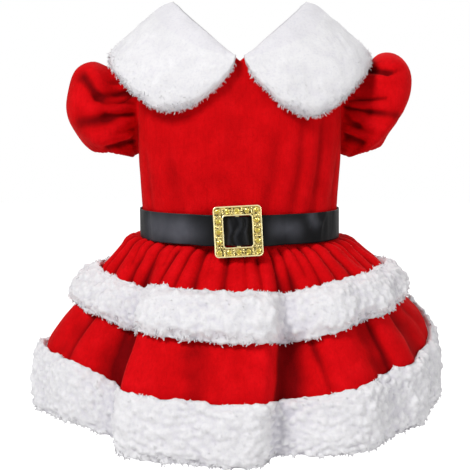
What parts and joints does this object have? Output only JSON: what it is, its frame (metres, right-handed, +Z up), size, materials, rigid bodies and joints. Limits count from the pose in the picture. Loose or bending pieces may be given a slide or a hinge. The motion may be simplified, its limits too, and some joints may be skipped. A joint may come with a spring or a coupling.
{
  "type": "dog dress in santa style",
  "caption": "Puff-sleeved velvet dog dress with a fleece collar, a satin belt with a jewelled slide buckle, and a gathered tiered skirt with fleece bands.",
  "frame": {"origin": "middle of the neck opening, level with the top of the shoulders, where the wearer's neck and shoulders hold the dress", "axes": "+Z up out of the neck, front of the dress towards -Y, +X to the right as seen from the front"},
  "size_m": [0.2812, 0.2421, 0.2812],
  "materials": {
    "velour": "soft red pile that is lighter where it is seen edge on",
    "fleece": "white sherpa with short curled tufts",
    "satin": "black satin with soft grey highlights",
    "stone": "clear amber, faceted, with a bright backing",
    "buckle_metal": "bright gold plating set with amber stones"
  },
  "bodies": {
    "root": {"bodice_front": "velour", "bodice_back": "velour", "sleeve_left": "velour", "sleeve_right": "velour", "collar_left": "fleece", "collar_right": "fleece", "skirt_upper": "velour", "skirt_lower": "velour", "band_middle": "fleece", "band_hem": "fleece", "belt": "satin", "buckle": "buckle_metal"}
  },
  "joints": []
}
